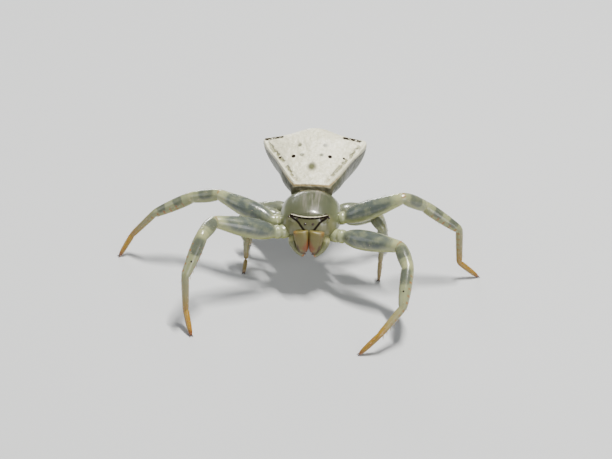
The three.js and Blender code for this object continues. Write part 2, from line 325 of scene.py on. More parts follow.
DOME_DARK = (0.042, 0.048, 0.023)
DOME_LIGHT = (0.075, 0.082, 0.043)
DOME_EDGE_GLOW = (0.14, 0.155, 0.07)
DOME_STREAK_AND_HIGHLIGHT = (0.22, 0.195, 0.165)
CHEEK_OLIVE = (0.16, 0.155, 0.06)
EYE_FIELD = (0.085, 0.085, 0.035)
BELLY_OLIVE = (0.17, 0.18, 0.07)
BROW_DARK = (0.45, 0.4, 0.24)
BROW_LIGHT = (0.8, 0.74, 0.55)

IVORY = (0.54, 0.52, 0.36)
PORCELAIN = (0.72, 0.69, 0.53)
STIPPLE = (0.36, 0.35, 0.24)
LUMP_SHADE = (0.45, 0.44, 0.3)
PIT_OLIVE = (0.12, 0.12, 0.03)
DIMPLE_GREY = (0.08, 0.085, 0.04)
HOLLOW_GREEN = (0.06, 0.066, 0.024)
FLANK_SHADED_DARK = (0.035, 0.038, 0.018)
FLANK_SHADED_LIGHT = (0.075, 0.078, 0.038)
FLANK_FLECK = (0.13, 0.13, 0.065)
FRONT_SHADOW_BROWN = (0.06, 0.052, 0.021)
RIM_TAN = (0.27, 0.18, 0.05)

JAW_DARK = (0.1, 0.08, 0.016)
JAW_LIGHT = (0.15, 0.125, 0.034)
JAW_CORNER = (0.2, 0.09, 0.015)
JAW_HEART = (0.16, 0.04, 0.005)
JAW_EDGE = (0.05, 0.022, 0.006)
JAW_TIP = (0.07, 0.025, 0.006)
PALP_DARK = (0.09, 0.095, 0.035)
PALP_LIGHT = (0.17, 0.175, 0.07)
PALP_BAND_HIGHLIGHT = (0.42, 0.41, 0.2)
PALP_TIP = (0.3, 0.09, 0.012)

EYE_DARK = (0.008, 0.003, 0.002)
EYE_LIGHT = (0.035, 0.008, 0.004)
HORN_DARK = (0.03, 0.012, 0.004)
HORN_LIGHT = (0.08, 0.03, 0.01)
HAIR_DARK = (0.3, 0.2, 0.1)
HAIR_LIGHT = (0.45, 0.32, 0.18)

# The windows of the thigh, painted see-through shade turned towards the view, face so many degrees above
# the front, and end at this run
THIGH_TURN = 48
THIGH_PANE_END = 0.88
# Where the painted see-through windows of the shin start and end, as runs
FIRST_PANES = ((1.1, 1.72), (2.06, 2.5))
SECOND_PANES = ((1.12, 1.7), (2.2, 2.46), (2.66, 2.9))
REAR_PANES = ((1.1, 1.8), (2.15, 2.7))
SPECKS_PER_SEGMENT = 6
# The black dot on the shin: its run and how far round, the stretch of each, and its radius
SHIN_DOT = (2.66, 0.02)
SHIN_DOT_STRETCH = (2.3, 0.33)
SHIN_DOT_RADIUS = 0.055


def leg_finish(name, dull, panes, shin_turn, dotted):
    """Milky shell with cream bands and a golden toe, and slate windows of painted see-through shade:
    the dark ground seen through the clear shell, on the face turned towards the view. Marks hold the run
    in segments, then how far round towards the top and towards the front. dull is how far the colours
    fade to grey. panes are the shin's windows, from run to run, and they face shin_turn degrees above
    the front. dotted says whether the shin has its black dot."""
    shell = Finish(name, roughness=0.24, coat_weight=0.35, coat_roughness=0.1)
    shell.glow_through(0.3, 0.35, (1, 0.92, 0.6))
    place = shell.place()
    run, up, front = shell.parts(shell.marks())
    cloud = shell.noise(place, 2.6, 3)
    speck = shell.noise(place, 13, 2)
    wander = run + (cloud - 0.5) * 0.07
    beyond = shell.step(run, 0.95, 1.05)
    thigh, shin = (
        up * math.cos(math.radians(turn)) - front * math.sin(math.radians(turn))
        for turn in (THIGH_TURN, shin_turn)
    )
    height = thigh * (1 - beyond) + shin * beyond
    skin = shell.mix(cloud, MILK, CREAM)
    skin = shell.mix(shell.step(-up, -0.1, 0.7) * 0.8, skin, LIME)
    # Windows of painted see-through shade: the dark ground seen through the clear shell, on the face
    # turned towards the view
    windows = shell.pane(wander, height * 1.05, -0.02, THIGH_PANE_END)
    for start, end in panes:
        windows = windows.above(shell.pane(wander, height * 1.15, start, end))
    saddle = shell.spot(shell.join(wander * 3.3, height), (2.25, 0.1), 0.15, 0.5)
    windows = windows * (0.95 - shell.step(cloud, 0.4, 0.7) * 0.3) * (1 - saddle * 0.45)
    skin = shell.mix(windows, skin, SEEN_THROUGH_SLATE)
    skin = shell.mix(beyond * 0.35, skin, SHIN_OLIVE)
    rings = shell.band(wander, 0.9, 0.985, 0.02).above(shell.band(wander, 1.88, 2.05, 0.03))
    skin = shell.mix(rings * 0.5, skin, RING_CREAM)
    joints = shell.band(wander, 0.99, 1.015, 0.01) * shell.step(up, 0.3, 0.7)
    skin = shell.mix(joints * 0.6, skin, AMBER)
    beat = shell.band((run * SPECKS_PER_SEGMENT).fraction(), 0.3, 0.55, 0.1)
    dots = shell.step(abs(height), 0.62, 0.85) * beat * shell.step(speck, 0.35, 0.5)
    skin = shell.mix(dots * shell.band(run, 2.2, 4.1, 0.2) * 0.85, skin, AMBER)
    skin = shell.mix(shell.step(wander, 2.8, 3.3) * 0.4, skin, TAN)
    skin = shell.mix(shell.step(wander, 3.3, 4.05) * 0.92, skin, GOLD)
    skin = shell.mix(shell.step(run, 3.6, 4.0) * shell.step(speck, 0.5, 0.62) * 0.7, skin, AMBER)
    skin = shell.mix(shell.step(wander, 4.75, 5.0) * 0.85, skin, RUST)
    if dotted:
        along_shin, round_shin = SHIN_DOT_STRETCH
        spread = shell.join(run * along_shin, height * round_shin)
        middle = (SHIN_DOT[0] * along_shin, SHIN_DOT[1])
        dot = shell.spot(spread, middle, SHIN_DOT_RADIUS, 0.02)
        skin = shell.mix(dot * shell.step(up, 0, 0.1), skin, INK)
    skin = shell.mix(dull, skin, REAR_GREY)
    shell.colour(skin)
    shell.bump(speck + cloud, 0.02, 0.5)
    return shell.material


# Ends of the dark lines on the face, across and up: beside the eyes, along the mouth and under the brow
FACE_LINES = [
    ((side * start[0], start[1]), (side * end[0], end[1]))
    for side in (-1, 1)
    for start, end in (
        ((0.98, 0.9), (0.56, 0.58)),
        ((0.56, 0.58), (0.22, 0.14)),
        ((0.22, 0.14), (0.5, 0.12)),
        ((0.98, 0.9), (0.5, 0.83)),
        ((0.5, 0.83), (0, 0.8)),
    )
]
LINE_WIDTH = 0.055


def carapace_finish():
    """Grey-green glassy dome, lighter at the sides with painted glow, pale streaks with a painted
    highlight on top, and dark lines drawn from brow to mouth.
    """
    shell = Finish("carapace_shell", roughness=0.3, coat_weight=0.6, coat_roughness=0.1)
    place = shell.place()
    x, y, z = shell.parts(place)
    cloud = shell.noise(place, 1.6, 3)
    skin = shell.mix(cloud, DOME_DARK, DOME_LIGHT)
    # Lighter towards the sides: painted glow of light through the thin edges
    edge = shell.step(abs(x), 0.95, 1.5)
    skin = shell.mix(edge * 0.6, skin, DOME_EDGE_GLOW)
    streaks = shell.noise(shell.join(x * 4.5, y * 0.35, z * 0.35), 1.6, 3)
    # Pale streaks on the top of the dome, set right of the middle: partly real streaks, partly a painted
    # highlight under the key lamp
    middle = (1 - shell.step(abs(x - 0.12), 0.25, 0.85)) * shell.step(z, 0.9, 1.1)
    skin = shell.mix(middle * shell.step(streaks, 0.4, 0.7) * 0.6, skin, DOME_STREAK_AND_HIGHLIGHT)
    cheeks = (1 - shell.step(y, -1.25, -0.95)) * (1 - shell.step(z, 0.8, 0.95))
    skin = shell.mix(cheeks * 0.7, skin, CHEEK_OLIVE)
    inside = shell.step(z * 0.92 - abs(x), -0.14, -0.04) * cheeks
    skin = shell.mix(inside * 0.7, skin, EYE_FIELD)
    skin = shell.mix(shell.step(-z, 0.0, 0.4) * 0.5, skin, BELLY_OLIVE)
    face = shell.join(x, z)
    lines = 0.0
    for start, end in FACE_LINES:
        lines = shell.line(face, start, end, LINE_WIDTH, LINE_WIDTH / 2).above(lines)
    ink = lines * (1 - shell.step(y, -1.2, -1.0))
    skin = shell.mix(ink, skin, INK)
    shell.colour(skin)
    shell.glow_through(0.35, 0.4, (1, 0.95, 0.6), 1 - ink)
    shell.matt(ink)
    shell.bump(streaks * 0.5 + cloud, 0.03, 0.4)
    return shell.material


# Marks on the abdomen's back: millimetres across and back from its front edge, then the radius
ABDOMEN_SPOTS = ((0.97, 1.9, 0.115), (1.7, 1.95, 0.07))
ABDOMEN_DIMPLES = ((0.68, 2.62, 0.12), (0.52, 1.98, 0.11))
CENTRE_DIMPLE = (0.03, 0.92)
CENTRE_DIMPLE_RADIUS = 0.21
STREAK_START = (1.7, 3.26)
STREAK_END = (2.5, 3.22)
STREAK_WIDTH = 0.12
# The marks sit this much to one side of the middle, as in the photo
MARKS_SHIFT = 0.1


def abdomen_finish():
    """Porcelain back with dark pits, an ivory rim, grey-green flanks darkened with painted shade, and a
    front face in painted brown shadow. Marks hold millimetres across, back from the front edge, and
    above the plane of the rim; below the rim the last one is negative."""
    shell = Finish("abdomen_skin", roughness=0.42, coat_weight=0.12, coat_roughness=0.3)
    place = shell.place()
    x, y, z = shell.parts(shell.marks())
    sideways = x + MARKS_SHIFT
    flat = shell.join(abs(sideways), y)
    cloud = shell.noise(place, 1.3, 4)
    grain = shell.noise(place, 9, 4)
    lump = shell.noise(place, 3.2, 2)
    back = shell.mix(cloud, IVORY, PORCELAIN)
    stipple = shell.step(grain, 0.5, 0.62) * (1 - shell.step(y, 0.5, 1.3))
    back = shell.mix(stipple * 0.3, back, STIPPLE)
    back = shell.mix(shell.step(lump, 0.52, 0.66) * 0.3, back, LUMP_SHADE)
    rim = shell.node("ShaderNodeAttribute", {"attribute_name": "rim"}, {}, "Fac")
    rim_near = shell.band(rim + (lump - 0.5) * 0.35, 0.18, 0.36, 0.06)
    pits = shell.step(lump, 0.4, 0.52) * rim_near * shell.band(y, 0.35, 2.9, 0.3)
    back = shell.mix(pits * 0.8, back, PIT_OLIVE)
    for across, back_from, radius in ABDOMEN_DIMPLES:
        dimple = shell.spot(flat, (across, back_from), radius, 0.06)
        back = shell.mix(dimple * 0.9, back, DIMPLE_GREY)
    hollow = shell.spot(shell.join(sideways, y * 0.8), CENTRE_DIMPLE, CENTRE_DIMPLE_RADIUS, 0.12)
    back = shell.mix(hollow * 0.92, back, HOLLOW_GREEN)
    streak = shell.line(flat, STREAK_START, STREAK_END, STREAK_WIDTH, 0.04)
    ink = streak * shell.step(grain, 0.34, 0.46)
    for across, back_from, radius in ABDOMEN_SPOTS:
        ink = ink.above(shell.spot(flat, (across, back_from), radius, 0.025))
    back = shell.mix(ink, back, INK)
    # Flanks below the rim: their grey-green colour, darkened with painted shade
    flank = shell.mix(cloud, FLANK_SHADED_DARK, FLANK_SHADED_LIGHT)
    flank = shell.mix(shell.step(lump, 0.5, 0.7) * 0.35, flank, FLANK_FLECK)
    # Front face under the rim: painted brown shadow between the rim and the carapace
    front = (1 - shell.step(y, -0.05, 0.25)) * shell.step(z, -0.7, -0.1)
    flank = shell.mix(front * 0.8, flank, FRONT_SHADOW_BROWN)
    skin = shell.mix(shell.step(z, -0.16, -0.02), flank, back)
    tan = shell.band(z, -0.09, 0.0, 0.02) * (1 - shell.step(y, 0.1, 1.2) * 0.6)
    skin = shell.mix(tan * 0.85, skin, RIM_TAN)
    shell.colour(skin)
    shell.glow_through(0.25, 0.3, (1, 0.95, 0.8), (1 - ink) * (1 - hollow))
    shell.matt(ink.above(hollow))
    shell.bump(cloud + lump + grain * 0.06 - pits * 0.6 - hollow * 0.6, 0.13, 1)
    return shell.material


def jaw_finish():
    """Olive-tan jaws that turn orange-brown at the inner edge and dark at the fang."""
    shell = Finish("jaw_shell", roughness=0.42, coat_weight=0.12, coat_roughness=0.25)
    shell.glow_through(0.1, 0.08, (1, 0.8, 0.45))
    place = shell.place()
    x, _, z = shell.parts(place)
    cloud = shell.noise(place, 3, 3)
    skin = shell.mix(cloud, JAW_DARK, JAW_LIGHT)
    corner = shell.step(abs(x), 0.5, 0.8) * shell.step(z, -0.15, 0.05)
    skin = shell.mix(corner * 0.6, skin, JAW_CORNER)
    from_heart = abs(x) + abs(z + 0.68) * 0.7 + (cloud - 0.5) * 0.15
    heart = 1 - shell.step(from_heart, 0.2, 0.5)
    skin = shell.mix(heart * 0.95, skin, JAW_HEART)
    edge = shell.step(abs(x) - z * 0.32, 0.66, 0.74) * shell.step(-z, 0.45, 0.6)
    skin = shell.mix(edge * 0.85, skin, JAW_EDGE)
    skin = shell.mix(shell.step(-z, 0.84, 0.98) * 0.85, skin, JAW_TIP)
    shell.colour(skin)
    shell.bump(cloud, 0.02, 0.5)
    return shell.material


def palp_finish():
    """Pale olive feelers with orange tips; marks hold the run from root to tip."""
    shell = Finish("palp_shell", roughness=0.3, coat_weight=0.25, coat_roughness=0.15)
    shell.glow_through(0.3, 0.3, (1, 0.9, 0.5))
    run = shell.parts(shell.marks())[0]
    cloud = shell.noise(shell.place(), 4, 3)
    skin = shell.mix(cloud, PALP_DARK, PALP_LIGHT)
    # Pale band at the base joint: a paler joint brightened with a painted highlight
    skin = shell.mix(shell.band(run, 0.2, 0.34, 0.03) * 0.7, skin, PALP_BAND_HIGHLIGHT)
    skin = shell.mix(shell.step(run, 0.84, 0.97) * 0.8, skin, PALP_TIP)
    shell.colour(skin)
    shell.bump(cloud, 0.02, 0.4)
    return shell.material


def plain_finish(name, dark, light, roughness, coat):
    """A small part whose colour drifts a little over its surface."""
    shell = Finish(name, roughness=roughness, coat_weight=coat)
    cloud = shell.noise(shell.place(), 6, 2)
    shell.colour(shell.mix(cloud, dark, light))
    return shell.material


# Drawing a closed skin ring by ring

def grow(name, rings, marks=None, rims=None):
    """Extrudes one ring after another. rings holds points, and marks the values kept on them."""
    sides = len(rings[0])
    bpy.ops.mesh.primitive_circle_add(vertices=sides, radius=1, fill_type="NGON")
    piece = bpy.context.object
    piece.name = name
    bpy.ops.object.mode_set(mode="EDIT")
    bpy.ops.mesh.select_all(action="SELECT")
    shape = bmesh.from_edit_mesh(piece.data)
    turn = shape.verts.layers.int.new("turn")
    level = shape.verts.layers.int.new("level")
    for index, vert in enumerate(shape.verts):
        vert[turn] = index
    for number, ring in enumerate(rings):
        if number:
            bpy.ops.mesh.extrude_region()
        shape = bmesh.from_edit_mesh(piece.data)
        turn = shape.verts.layers.int["turn"]
        level = shape.verts.layers.int["level"]
        for vert in shape.verts:
            if vert.select:
                vert.co = ring[vert[turn]]
                vert[level] = number
        bmesh.update_edit_mesh(piece.data)
    bpy.ops.mesh.select_all(action="SELECT")
    bpy.ops.mesh.normals_make_consistent(inside=False)
    bpy.ops.object.mode_set(mode="OBJECT")
    where = [
        (turn.value, level.value)
        for turn, level in zip(piece.data.attributes["turn"].data, piece.data.attributes["level"].data)
    ]
    for kept, kind, values in (("marks", "FLOAT_VECTOR", marks), ("rim", "FLOAT", rims)):
        if values is None:
            continue
        store = piece.data.attributes.new(kept, kind, "POINT")
        for index, (turn, level) in enumerate(where):
            if kind == "FLOAT":
                store.data[index].value = values[level][turn]
            else:
                store.data[index].vector = values[level][turn]
    for helper in ("turn", "level"):
        piece.data.attributes.remove(piece.data.attributes[helper])
    return piece


def finish_with(piece, kind, **settings):
    bpy.context.view_layer.objects.active = piece
    modifier = piece.modifiers.new(kind.lower(), kind)
    for key, value in settings.items():
        setattr(modifier, key, value)
    bpy.ops.object.modifier_apply(modifier=modifier.name)


def soften(piece, levels):
    finish_with(piece, "SUBSURF", levels=levels, render_levels=levels)


def paint(piece, material):
    piece.data.materials.clear()
    piece.data.materials.append(material)
    return piece


def settle(piece):
    """Moves a finished piece into the frame and lets it ride with the spider."""
    piece.data.transform(TO_FRAME)
    bpy.ops.object.select_all(action="DESELECT")
    piece.select_set(True)
    bpy.context.view_layer.objects.active = piece
    bpy.ops.object.shade_smooth_by_angle(angle=math.radians(55))
    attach(piece, "root")


def weld(pieces, name):
    """Joins closed pieces into one skin with one outside."""
    skin = pieces[0]
    how = {"operation": "UNION", "solver": "MANIFOLD", "material_mode": "TRANSFER"}
    for other in pieces[1:]:
        finish_with(skin, "BOOLEAN", object=other, **how)
    for other in pieces[1:]:
        bpy.data.objects.remove(other)
    skin.name = name
    return skin


def slope(first, second):
    """How steeply a line rises between two (place, value) pairs."""
    return (second[1] - first[1]) / (second[0] - first[0])


def along(pairs, place):
    """Reads a smooth line through (place, value) pairs."""
    if place <= pairs[0][0]:
        return pairs[0][1]
    if place >= pairs[-1][0]:
        return pairs[-1][1]
    i = next(k for k, pair in enumerate(pairs) if pair[0] > place) - 1
    here = slope(pairs[i], pairs[i + 1])
    before = slope(pairs[i - 1], pairs[i + 1]) if i > 0 else here
    after = slope(pairs[i], pairs[i + 2]) if i + 2 < len(pairs) else here
    span = pairs[i + 1][0] - pairs[i][0]
    t = (place - pairs[i][0]) / span
    level = (2 * t**3 - 3 * t**2 + 1) * pairs[i][1] + (3 * t**2 - 2 * t**3) * pairs[i + 1][1]
    return level + span * ((t**3 - 2 * t**2 + t) * before + (t**3 - t**2) * after)


def squared(value, power):
    """Raises a value between -1 and 1 to a power and keeps its sign."""
    return math.copysign(abs(value) ** power, value)


def taper(start, end, sizes):
    """Stations of a straight tube. sizes holds the share of the way along, and the radius there."""
    return [(start.lerp(end, share), radius, share) for share, radius in sizes]


def tube_rings(stations, sides, top=Vector((0, 0, 1)), power=1.0):
    """Rings and marks for a tube, squarer in section below a power of 1. A station holds a point,
    the radius there, and the run that its marks keep."""
    rings = []
    marks = []
    across = None
    for i, (point, radius, run) in enumerate(stations):
        before = stations[max(i - 1, 0)][0]
        after = stations[min(i + 1, len(stations) - 1)][0]
        facing = ((point - before).normalized() + (after - point).normalized()).normalized()
        if across is None:
            across = top.cross(facing).normalized()
        across = (across - facing * across.dot(facing)).normalized()
        up = facing.cross(across)
        if up.z < 0 and abs(facing.z) < 0.5:
            across = -across
            up = -up
        turns = [2 * math.pi * k / sides for k in range(sides)]
        rings.append([
            point
            + across * (radius * squared(math.cos(turn), power))
            + up * (radius * squared(math.sin(turn), power))
            for turn in turns
        ])
        marks.append([(run, math.sin(turn), math.cos(turn)) for turn in turns])
    return rings, marks


# Head and thorax

# Half width, top and bottom of the head and thorax, by how far back
HEAD_WIDTHS = [
    (HEAD_FRONT, 0.62), (HEAD_FRONT + 0.12, 0.92), (BROW_Y, 1.14), (-1.0, 1.45), (-0.5, 1.61),
    (0, 0.5 * CARAPACE_WIDTH), (0.5, 1.62), (1.0, 1.42), (1.35, 1.08), (HEAD_BACK, 0.6),
]
HEAD_TOPS = [
    (HEAD_FRONT, 0.12), (HEAD_FRONT + 0.12, 0.64), (BROW_Y, BROW_Z), (-1.0, 1.18), (-0.5, 1.3),
    (0, 1.35), (0.5, 1.37), (0.9, 1.22), (1.3, 0.83), (1.5, 0.44), (HEAD_BACK, 0.05),
]
HEAD_BOTTOMS = [
    (HEAD_FRONT, -0.12), (HEAD_FRONT + 0.2, -0.5), (-1.1, -0.82), (0, -0.92), (1.0, -0.8),
    (HEAD_BACK, -0.4),
]
HEAD_RIM_Z = -0.1
HEAD_TUCK = 0.3
HEAD_CROWN = 0.78
HEAD_SIDES = 32
HEAD_SHARES = (
    0, 0.02, 0.05, 0.09, 0.13, 0.165, 0.2, 0.26, 0.34, 0.43, 0.52, 0.61, 0.7, 0.79, 0.87, 0.94,
    0.98, 1,
)


def head_ring(share):
    y = HEAD_FRONT + share * (HEAD_BACK - HEAD_FRONT)
    width = along(HEAD_WIDTHS, y)
    top = along(HEAD_TOPS, y)
    bottom = along(HEAD_BOTTOMS, y)
    ring = []
    for k in range(HEAD_SIDES):
        turn = 2 * math.pi * k / HEAD_SIDES
        rise = math.sin(turn)
        tuck = 1 + HEAD_TUCK * min(rise, 0)
        if rise > 0:
            z = HEAD_RIM_Z + (top - HEAD_RIM_Z) * rise**HEAD_CROWN
        else:
            z = HEAD_RIM_Z + (HEAD_RIM_Z - bottom) * rise
        ring.append(Vector((width * tuck * math.cos(turn), y, z)))
    return ring


RIDGE_HALF = 0.98
RIDGE_SAG = 0.11
RIDGE_STEPS = 24
HUMP_X = 0.93
HUMP_SIZES = ((0, 0.34), (0.6, 0.24), (1, 0.1))
# The plate behind the jaws: across, back and up, then the radius and the run
MOUTH_PLATE = (
    (0.36, -0.95, -0.55, 0.3, 0), (0.3, -1.2, -0.82, 0.26, 0.5), (0.2, -1.34, -1.02, 0.2, 0.8),
    (0.17, -1.42, -1.12, 0.1, 1),
)


def brow_point(x):
    """A point on the pale ridge that runs across the brow."""
    share = x / RIDGE_HALF
    return Vector((x, BROW_Y - 0.06 + 0.1 * share**2, BROW_Z - 0.02 - RIDGE_SAG * (1 - share**2)))


def make_head():
    shell = carapace_finish()
    parts = [paint(grow("carapace", [head_ring(share) for share in HEAD_SHARES]), shell)]
    soften(parts[0], 1)
    for side in SIDES.values():
        root = Vector((side * (HUMP_X - 0.22), BROW_Y + 0.24, BROW_Z - 0.42))
        tip = Vector((side * (HUMP_X + 0.06), BROW_Y, BROW_Z - 0.12))
        hump = paint(grow("hump", *tube_rings(taper(root, tip, HUMP_SIZES), 12)), shell)
        soften(hump, 1)
        parts.append(hump)
        plate = [(Vector((side * x, y, z)), radius, run) for x, y, z, radius, run in MOUTH_PLATE]
        mouth = paint(grow("mouth_plate", *tube_rings(plate, 12)), shell)
        soften(mouth, 1)
        parts.append(mouth)
    stations = []
    for k in range(RIDGE_STEPS + 1):
        across = 2 * k / RIDGE_STEPS - 1
        wobble = 0.03 + 0.013 * math.sin(k * 2.1)
        radius = wobble * (1 - abs(across) ** 3 * 0.7)
        stations.append((brow_point(RIDGE_HALF * across), radius, k / RIDGE_STEPS))
    ridge = paint(
        grow("brow_ridge", *tube_rings(stations, 8)),
        plain_finish("brow_ivory", BROW_DARK, BROW_LIGHT, 0.35, 0.3),
    )
    soften(ridge, 1)
    parts.append(ridge)
    return parts


# Abdomen, drawn in its own frame: across, back from its front edge, and up from its rim

HUMP_SHARE = 0.64
HALF_ABDOMEN = ABDOMEN_WIDTH / 2
# Half width, height of the rim, the dome over it and the depth below it, by the share of the length
ABDOMEN_WIDTHS = [
    (-0.06, 0.82), (0, 0.9), (0.066, 1.12), (0.19, 1.48), (0.38, 2.0),
    (HUMP_SHARE - 0.04, HALF_ABDOMEN - 0.06), (HUMP_SHARE + 0.02, HALF_ABDOMEN - 0.03), (0.72, 2.2),
    (0.82, 1.62), (0.92, 1.0), (1, 0.42),
]
ABDOMEN_RIMS = [
    (-0.06, -0.55), (-0.03, -0.22), (0, 0), (0.5, 0.02), (HUMP_SHARE, 0), (0.8, -0.35), (1, -1.5),
]
ABDOMEN_DOMES = [
    (-0.06, 0.05), (0, 0.06), (0.3, 0.26), (HUMP_SHARE, 0.62), (0.8, 0.88), (0.92, 0.66), (1, 0.2),
]
ABDOMEN_DEPTHS = [(-0.06, 0.6), (0, 1.2), (0.25, 1.9), (0.55, 2.35), (0.8, 1.9), (0.94, 1.0), (1, 0.3)]
FLANK_TUCK = 0.12
FLANK_SQUARE = 0.5
FLANK_BULGE = 0.34
KNOB_HEIGHT = 0.42
KNOB_REACH = 0.09
LIP_HEIGHT = 0.07
LIP_WIDTH = 0.1
GROOVE_DEPTH = 0.08
GROOVE_PLACE = 0.27
GROOVE_WIDTH = 0.12
ABDOMEN_SIDES = 48
ABDOMEN_SHARES = (
    -0.06, -0.03, -0.012, 0, 0.012, 0.05, 0.1, 0.16, 0.22, 0.28, 0.35, 0.42, 0.48, 0.54, 0.58,
    0.61, 0.64, 0.67, 0.7, 0.74, 0.79, 0.84, 0.89, 0.94, 0.98, 1,
)
WAIST_RINGS = (((0, HEAD_BACK - 0.7, -0.15), 0.3, 0), ((0, HEAD_BACK + 1.1, 0.35), 0.4, 1))
# Each pair of spinnerets: where it starts and ends in the abdomen's own frame, and its radius
SPINNERETS = (
    ((0.2, 4.7, -1.5), (0.22, 5.15, -1.73), 0.19),
    ((0.17, 4.55, -1.75), (0.14, 4.9, -2.02), 0.17),
)
SPINNERET_SIZES = ((0, 1), (0.5, 0.9), (0.8, 0.65), (1, 0.3))
ABDOMEN_SEAT = (
    Matrix.Translation((-0.05, 1.2, 1.36))
    @ Matrix.Rotation(math.radians(ABDOMEN_TURN), 4, "Z")
    @ Matrix.Rotation(math.radians(ABDOMEN_TILT), 4, "X")
)


def smooth_step(value, low, high):
    share = min(max((value - low) / (high - low), 0), 1)
    return share**2 * (3 - 2 * share)


def rim_relief(near, share):
    """The lip along the rim and the uneven groove just inside it."""
    reach = smooth_step(share, -0.01, 0.05) * (1 - smooth_step(share, 0.6, 0.72))
    pits = 0.65 + 0.35 * math.sin(share * 62) * math.sin(share * 23 + 1)
    lip = LIP_HEIGHT * math.exp(-((near / LIP_WIDTH) ** 2))
    groove = GROOVE_DEPTH * pits * math.exp(-(((near - GROOVE_PLACE) / GROOVE_WIDTH) ** 2))
    return reach * (lip - groove)


def abdomen_ring(share):
    """Points at a share of the abdomen's length, with their marks and how near the rim they are."""
    width = along(ABDOMEN_WIDTHS, share)
    rim = along(ABDOMEN_RIMS, share)
    dome = along(ABDOMEN_DOMES, share)
    depth = along(ABDOMEN_DEPTHS, share)
    knob = KNOB_HEIGHT * math.exp(-(((share - HUMP_SHARE - 0.02) / KNOB_REACH) ** 2))
    sharper = smooth_step(share, 0.45, 0.7)
    bulge = FLANK_BULGE * (1 - smooth_step(share, 0.1, 0.5))
    ring = []
    marks = []
    rims = []
    for k in range(ABDOMEN_SIDES):
        turn = 2 * math.pi * k / ABDOMEN_SIDES
        rise = math.sin(turn)
        across = math.cos(turn)
        if rise >= 0:
            x = width * across
            height = dome * rise ** (1.6 + 1.3 * sharper) + knob * rise**0.2 * (1 - rise**2)
            height += rim_relief(width - abs(x), share)
        else:
            flank = squared(across, FLANK_SQUARE)
            swell = bulge * math.sin(math.pi * abs(rise) ** 0.8) * squared(across, 0.7)
            x = width * flank * (1 + FLANK_TUCK * rise) + swell
            height = depth * rise
        spot = Vector((x, share * ABDOMEN_LENGTH, rim + height))
        ring.append(ABDOMEN_SEAT @ spot)
        marks.append((spot.x, spot.y, height if share >= 0 else min(height, rim)))
        rims.append((width - abs(x)) if rise >= 0 else height)
    return ring, marks, rims


def make_abdomen():
    rows = [abdomen_ring(share) for share in ABDOMEN_SHARES]
    skin = abdomen_finish()
    body = paint(grow("abdomen", *([row[column] for row in rows] for column in range(3))), skin)
    soften(body, 1)
    parts = [body]
    waist = [(Vector(point), radius, run) for point, radius, run in WAIST_RINGS]
    parts.append(paint(grow("waist", *tube_rings(waist, 16)), skin))
    for side in SIDES.values():
        for start, end, wide in SPINNERETS:
            root, tip = (ABDOMEN_SEAT @ Vector((side * x, y, z)) for x, y, z in (start, end))
            sizes = [(share, wide * size) for share, size in SPINNERET_SIZES]
            parts.append(paint(grow("spinneret", *tube_rings(taper(root, tip, sizes), 12)), skin))
    return parts


# Legs, posed as the solids have them

# Lengths of a leg's five pieces in each pair, and its girth
LEG_PAIRS = {
    "1": ((3.4, 1.5, 2.3, 1.9, 1.4), 1),
    "2": ((3.3, 1.6, 2.3, 2.0, 1.3), 0.95),
    "3": ((1.7, 0.75, 1.15, 1.05, 1.0), 0.72),
    "4": ((1.85, 0.75, 1.2, 0.9, 0.75), 0.72),
}
# Each leg's hip, then the heading (0 is ahead, 90 is outwards) and the pitch of its pieces
LEG_POSES = {
    "leg_1_left": ((-1.89, -1.4, -0.13), (70, 20, 26, 174, -19), (20, -4, -43, -94)),
    "leg_2_left": ((-2.02, -0.47, 0.06), (116, 107, 88, 105, 58), (11, -17, -27, -50)),
    "leg_3_left": ((-1.75, 0.55, -0.25), (103, 90, 60, -3, 3), (-4, -54, -108, -76)),
    "leg_4_left": ((-1.35, 1.34, -0.25), (111, 129, 120, 157, 180), (-11, -44, -94, -71)),
    "leg_1_right": ((1.93, -1.4, -0.27), (61, 18, -5, -43, -70), (8, -16, -35, -30)),
    "leg_2_right": ((1.89, -0.37, 0.31), (87, 126, 90, 106, 97), (25, -34, -36, -89)),
    "leg_3_right": ((1.75, 0.55, -0.25), (69, 57, 60, 24, -13), (15, -38, -90, -104)),
    "leg_4_right": ((1.35, 1.34, -0.25), (113, 133, 103, 156, 161), (-9, -44, -72, -78)),
}
# The radius along each of the five pieces, by the share of its length
LEG_SHAPES = (
    (
        (0.0, 0.32), (0.04, 0.39), (0.1, 0.465), (0.2, 0.535), (0.32, 0.565), (0.45, 0.56),
        (0.58, 0.525), (0.72, 0.46), (0.85, 0.385), (0.93, 0.355), (0.975, 0.325),
    ),
    (
        (0.02, 0.3), (0.07, 0.33), (0.2, 0.37), (0.4, 0.395), (0.6, 0.385), (0.8, 0.36),
        (0.93, 0.345), (0.98, 0.325),
    ),
    (
        (0.02, 0.325), (0.08, 0.345), (0.2, 0.36), (0.42, 0.355), (0.66, 0.325), (0.85, 0.28),
        (0.94, 0.26), (0.99, 0.22),
    ),
    ((0.03, 0.2), (0.1, 0.215), (0.3, 0.21), (0.6, 0.19), (0.9, 0.18), (0.97, 0.165)),
    ((0.03, 0.15), (0.12, 0.165), (0.4, 0.16), (0.7, 0.145), (0.88, 0.125)),
)
# The swellings between body and hip: share of the way, size and run
LEG_ROOT = (
    (0, 0.9, -1.2), (0.3, 1, -0.9), (0.48, 1.12, -0.6), (0.6, 1.08, -0.5), (0.66, 0.95, -0.42),
    (0.71, 1.04, -0.36), (0.8, 1.1, -0.25), (0.88, 1.06, -0.14), (0.93, 0.93, -0.1),
    (0.97, 0.94, -0.04),
)
ROOT_RADIUS = 0.35
TOE_RADIUS = 0.17
TIP_RADIUS = 0.085
LEG_SIDES = 16


def pair_of(name):
    return name.split("_")[1]


def side_of(name):
    return SIDES[name.split("_")[2]]


